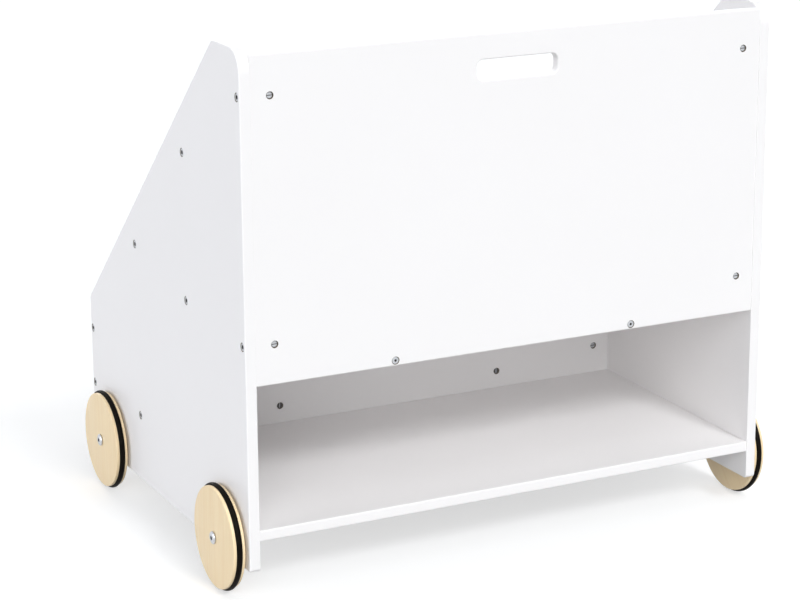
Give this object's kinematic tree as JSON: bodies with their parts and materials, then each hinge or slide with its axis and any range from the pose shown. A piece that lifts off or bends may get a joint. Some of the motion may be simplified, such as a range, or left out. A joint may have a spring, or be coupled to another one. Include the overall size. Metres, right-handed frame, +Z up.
{
  "type": "mobile bookcase",
  "caption": "Low white bookcase on wooden disc wheels, with stepped picture-book pockets in front, an open compartment at the back and a hand slot in the back panel.",
  "frame": {"origin": "on the floor under the middle of the overall box", "axes": "+X to the right across the width seen from behind, +Y from the back panel to the pockets, +Z up"},
  "size_m": [0.6608, 0.472, 0.582],
  "materials": {
    "white_lacquer": "satin white lacquer on board",
    "pale_wood": "clear-coated pale hardwood plywood",
    "black_rubber": "matt black rubber",
    "zinc_steel": "bright zinc plating"
  },
  "bodies": {
    "bookcase": {"side_panel_left": "white_lacquer", "side_panel_right": "white_lacquer", "back_panel": "white_lacquer", "rear_divider": "white_lacquer", "front_divider": "white_lacquer", "front_panel": "white_lacquer", "middle_shelf": "white_lacquer", "bottom_board": "white_lacquer", "bolt_back_panel_lower_left": "zinc_steel", "bolt_back_panel_lower_right": "zinc_steel", "bolt_back_panel_upper_left": "zinc_steel", "bolt_back_panel_upper_right": "zinc_steel", "bolt_rear_divider_lower_left": "zinc_steel", "bolt_rear_divider_lower_right": "zinc_steel", "bolt_rear_divider_upper_left": "zinc_steel", "bolt_rear_divider_upper_right": "zinc_steel", "bolt_front_divider_lower_left": "zinc_steel", "bolt_front_divider_lower_right": "zinc_steel", "bolt_front_divider_upper_left": "zinc_steel", "bolt_front_divider_upper_right": "zinc_steel", "bolt_front_panel_lower_left": "zinc_steel", "bolt_front_panel_lower_right": "zinc_steel", "bolt_front_panel_upper_left": "zinc_steel", "bolt_front_panel_upper_right": "zinc_steel", "barrel_nut_back_panel_lower_left": "zinc_steel", "barrel_nut_back_panel_lower_right": "zinc_steel", "barrel_nut_back_panel_upper_left": "zinc_steel", "barrel_nut_back_panel_upper_right": "zinc_steel", "barrel_nut_rear_divider_lower_left": "zinc_steel", "barrel_nut_rear_divider_lower_right": "zinc_steel", "barrel_nut_rear_divider_upper_left": "zinc_steel", "barrel_nut_rear_divider_upper_right": "zinc_steel", "barrel_nut_front_divider_lower_left": "zinc_steel", "barrel_nut_front_divider_lower_right": "zinc_steel", "barrel_nut_front_divider_upper_left": "zinc_steel", "barrel_nut_front_divider_upper_right": "zinc_steel", "barrel_nut_front_panel_lower_left": "zinc_steel", "barrel_nut_front_panel_lower_right": "zinc_steel", "barrel_nut_front_panel_upper_left": "zinc_steel", "barrel_nut_front_panel_upper_right": "zinc_steel", "foot_bolt_left": "zinc_steel", "foot_bolt_right": "zinc_steel", "foot_nut_left": "zinc_steel", "foot_nut_right": "zinc_steel", "shelf_screw_left": "zinc_steel", "shelf_screw_right": "zinc_steel", "bottom_screw_left": "zinc_steel", "bottom_screw_right": "zinc_steel", "axle_bolt_rear_left": "zinc_steel", "axle_bolt_rear_right": "zinc_steel", "axle_bolt_front_left": "zinc_steel", "axle_bolt_front_right": "zinc_steel"},
    "wheel_rear_left": {"wheel_rear_left": "pale_wood", "tyre_rear_left": "black_rubber"},
    "wheel_rear_right": {"wheel_rear_right": "pale_wood", "tyre_rear_right": "black_rubber"},
    "wheel_front_left": {"wheel_front_left": "pale_wood", "tyre_front_left": "black_rubber"},
    "wheel_front_right": {"wheel_front_right": "pale_wood", "tyre_front_right": "black_rubber"}
  },
  "joints": [
    {"name": "wheel_rear_left_spin", "type": "hinge", "parent": "bookcase", "child": "wheel_rear_left", "pos_m": [-0.321, -0.176, 0.0575], "axis": [1, 0, 0], "continuous": true},
    {"name": "wheel_rear_right_spin", "type": "hinge", "parent": "bookcase", "child": "wheel_rear_right", "pos_m": [0.321, -0.176, 0.0575], "axis": [1, 0, 0], "continuous": true},
    {"name": "wheel_front_left_spin", "type": "hinge", "parent": "bookcase", "child": "wheel_front_left", "pos_m": [-0.321, 0.172, 0.0575], "axis": [1, 0, 0], "continuous": true},
    {"name": "wheel_front_right_spin", "type": "hinge", "parent": "bookcase", "child": "wheel_front_right", "pos_m": [0.321, 0.172, 0.0575], "axis": [1, 0, 0], "continuous": true}
  ]
}
